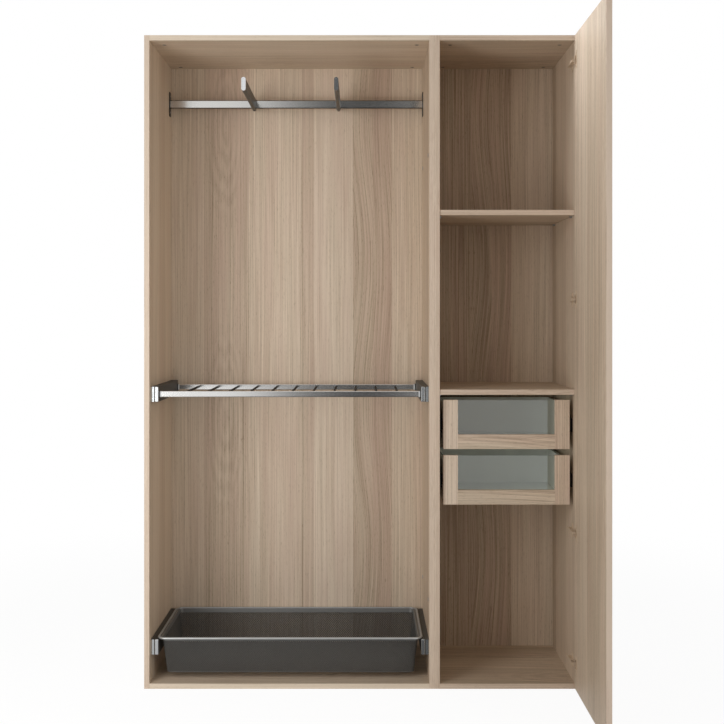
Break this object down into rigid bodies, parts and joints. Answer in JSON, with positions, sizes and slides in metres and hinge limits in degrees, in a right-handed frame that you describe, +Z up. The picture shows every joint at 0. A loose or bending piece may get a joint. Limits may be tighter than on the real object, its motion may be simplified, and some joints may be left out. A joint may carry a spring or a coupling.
{
  "type": "chifforobe",
  "caption": "Tall two-bay wardrobe in pale oak effect: open bay with front-facing pegs, pull-out trouser rack and mesh basket, and a shelf bay with glass-front drawers behind one door.",
  "frame": {"origin": "on the floor, below the middle of the carcass, door left out", "axes": "+X to the right seen from the front, +Y to the back, +Z up"},
  "size_m": [1.5, 0.9615, 2.25],
  "materials": {
    "pale_oak": "white-stained oak effect foil, vertical grain",
    "pale_oak_back": "white-stained oak effect board, vertical grain",
    "grey_box": "grey-green foil on fibreboard",
    "clear_glass": "clear, polished edges",
    "brushed_rail": "brushed and anodised",
    "slide_steel": "grey lacquer",
    "dark_steel": "dark grey epoxy lacquer",
    "dark_mesh": "dark grey epoxy lacquer on wire mesh",
    "zinc_steel": "nickel or zinc plated",
    "pale_plastic": "satin",
    "dark_plastic": "satin",
    "beech_dowel": "fluted"
  },
  "bodies": {
    "carcass": {"left_side_panel": "pale_oak", "left_divider_panel": "pale_oak", "right_divider_panel": "pale_oak", "right_side_panel": "pale_oak", "left_top_panel": "pale_oak", "left_bottom_panel": "pale_oak", "right_top_panel": "pale_oak", "right_bottom_panel": "pale_oak", "upper_shelf": "pale_oak", "lower_shelf": "pale_oak", "left_back_panel": "pale_oak_back", "right_back_panel": "pale_oak_back", "back_panel_clips": "pale_plastic", "shelf_pins": "zinc_steel", "panel_dowels": "beech_dowel", "cam_locks": "zinc_steel", "cam_bolts": "zinc_steel", "frame_connectors": "zinc_steel", "rail_screws": "zinc_steel", "runner_screws": "zinc_steel", "hinge_plate_screws": "zinc_steel", "hanging_rail": "brushed_rail", "rail_end_plates": "brushed_rail", "pull_out_runners": "slide_steel", "drawer_runners": "zinc_steel", "hinge_plates": "zinc_steel", "hinge_arms": "zinc_steel"},
    "door": {"door_panel": "pale_oak", "hinge_cups": "zinc_steel", "hinge_pins": "zinc_steel", "hinge_cup_screws": "zinc_steel"},
    "upper_drawer": {"upper_drawer_stiles": "pale_oak", "upper_drawer_bottom_rail": "pale_oak", "upper_drawer_glass": "clear_glass", "upper_drawer_sides": "grey_box", "upper_drawer_back": "grey_box", "upper_drawer_bottom": "grey_box", "upper_drawer_slides": "zinc_steel"},
    "lower_drawer": {"lower_drawer_stiles": "pale_oak", "lower_drawer_bottom_rail": "pale_oak", "lower_drawer_glass": "clear_glass", "lower_drawer_sides": "grey_box", "lower_drawer_back": "grey_box", "lower_drawer_bottom": "grey_box", "lower_drawer_slides": "zinc_steel"},
    "trouser_rack": {"trouser_slides": "slide_steel", "trouser_front_bar": "brushed_rail", "trouser_rear_bar": "brushed_rail", "trouser_bars": "dark_steel", "trouser_end_caps": "pale_plastic", "trouser_brackets": "dark_plastic"},
    "basket": {"basket_slides": "slide_steel", "basket_tub": "dark_mesh", "basket_rim": "dark_steel", "basket_clips": "dark_plastic"},
    "left_peg": {"left_hanging_peg": "brushed_rail", "left_peg_fittings": "pale_plastic"},
    "right_peg": {"right_hanging_peg": "brushed_rail", "right_peg_fittings": "pale_plastic"}
  },
  "joints": [
    {"name": "door_hinge", "type": "hinge", "parent": "carcass", "child": "door", "pos_m": [0.74, -0.2435, 1.125], "axis": [0, 0, 1], "range_deg": [-90, 15]},
    {"name": "upper_drawer_slide", "type": "slide", "parent": "carcass", "child": "upper_drawer", "axis": [0, -1, 0], "range_m": [0, 0.28]},
    {"name": "lower_drawer_slide", "type": "slide", "parent": "carcass", "child": "lower_drawer", "axis": [0, -1, 0], "range_m": [0, 0.28]},
    {"name": "trouser_rack_slide", "type": "slide", "parent": "carcass", "child": "trouser_rack", "axis": [0, -1, 0], "range_m": [0, 0.3]},
    {"name": "basket_slide", "type": "slide", "parent": "carcass", "child": "basket", "axis": [0, -1, 0], "range_m": [0, 0.3]},
    {"name": "left_peg_slide", "type": "slide", "parent": "carcass", "child": "left_peg", "axis": [1, 0, 0], "range_m": [-0.25, 0.1]},
    {"name": "right_peg_slide", "type": "slide", "parent": "carcass", "child": "right_peg", "axis": [1, 0, 0], "range_m": [-0.1, 0.25]}
  ]
}
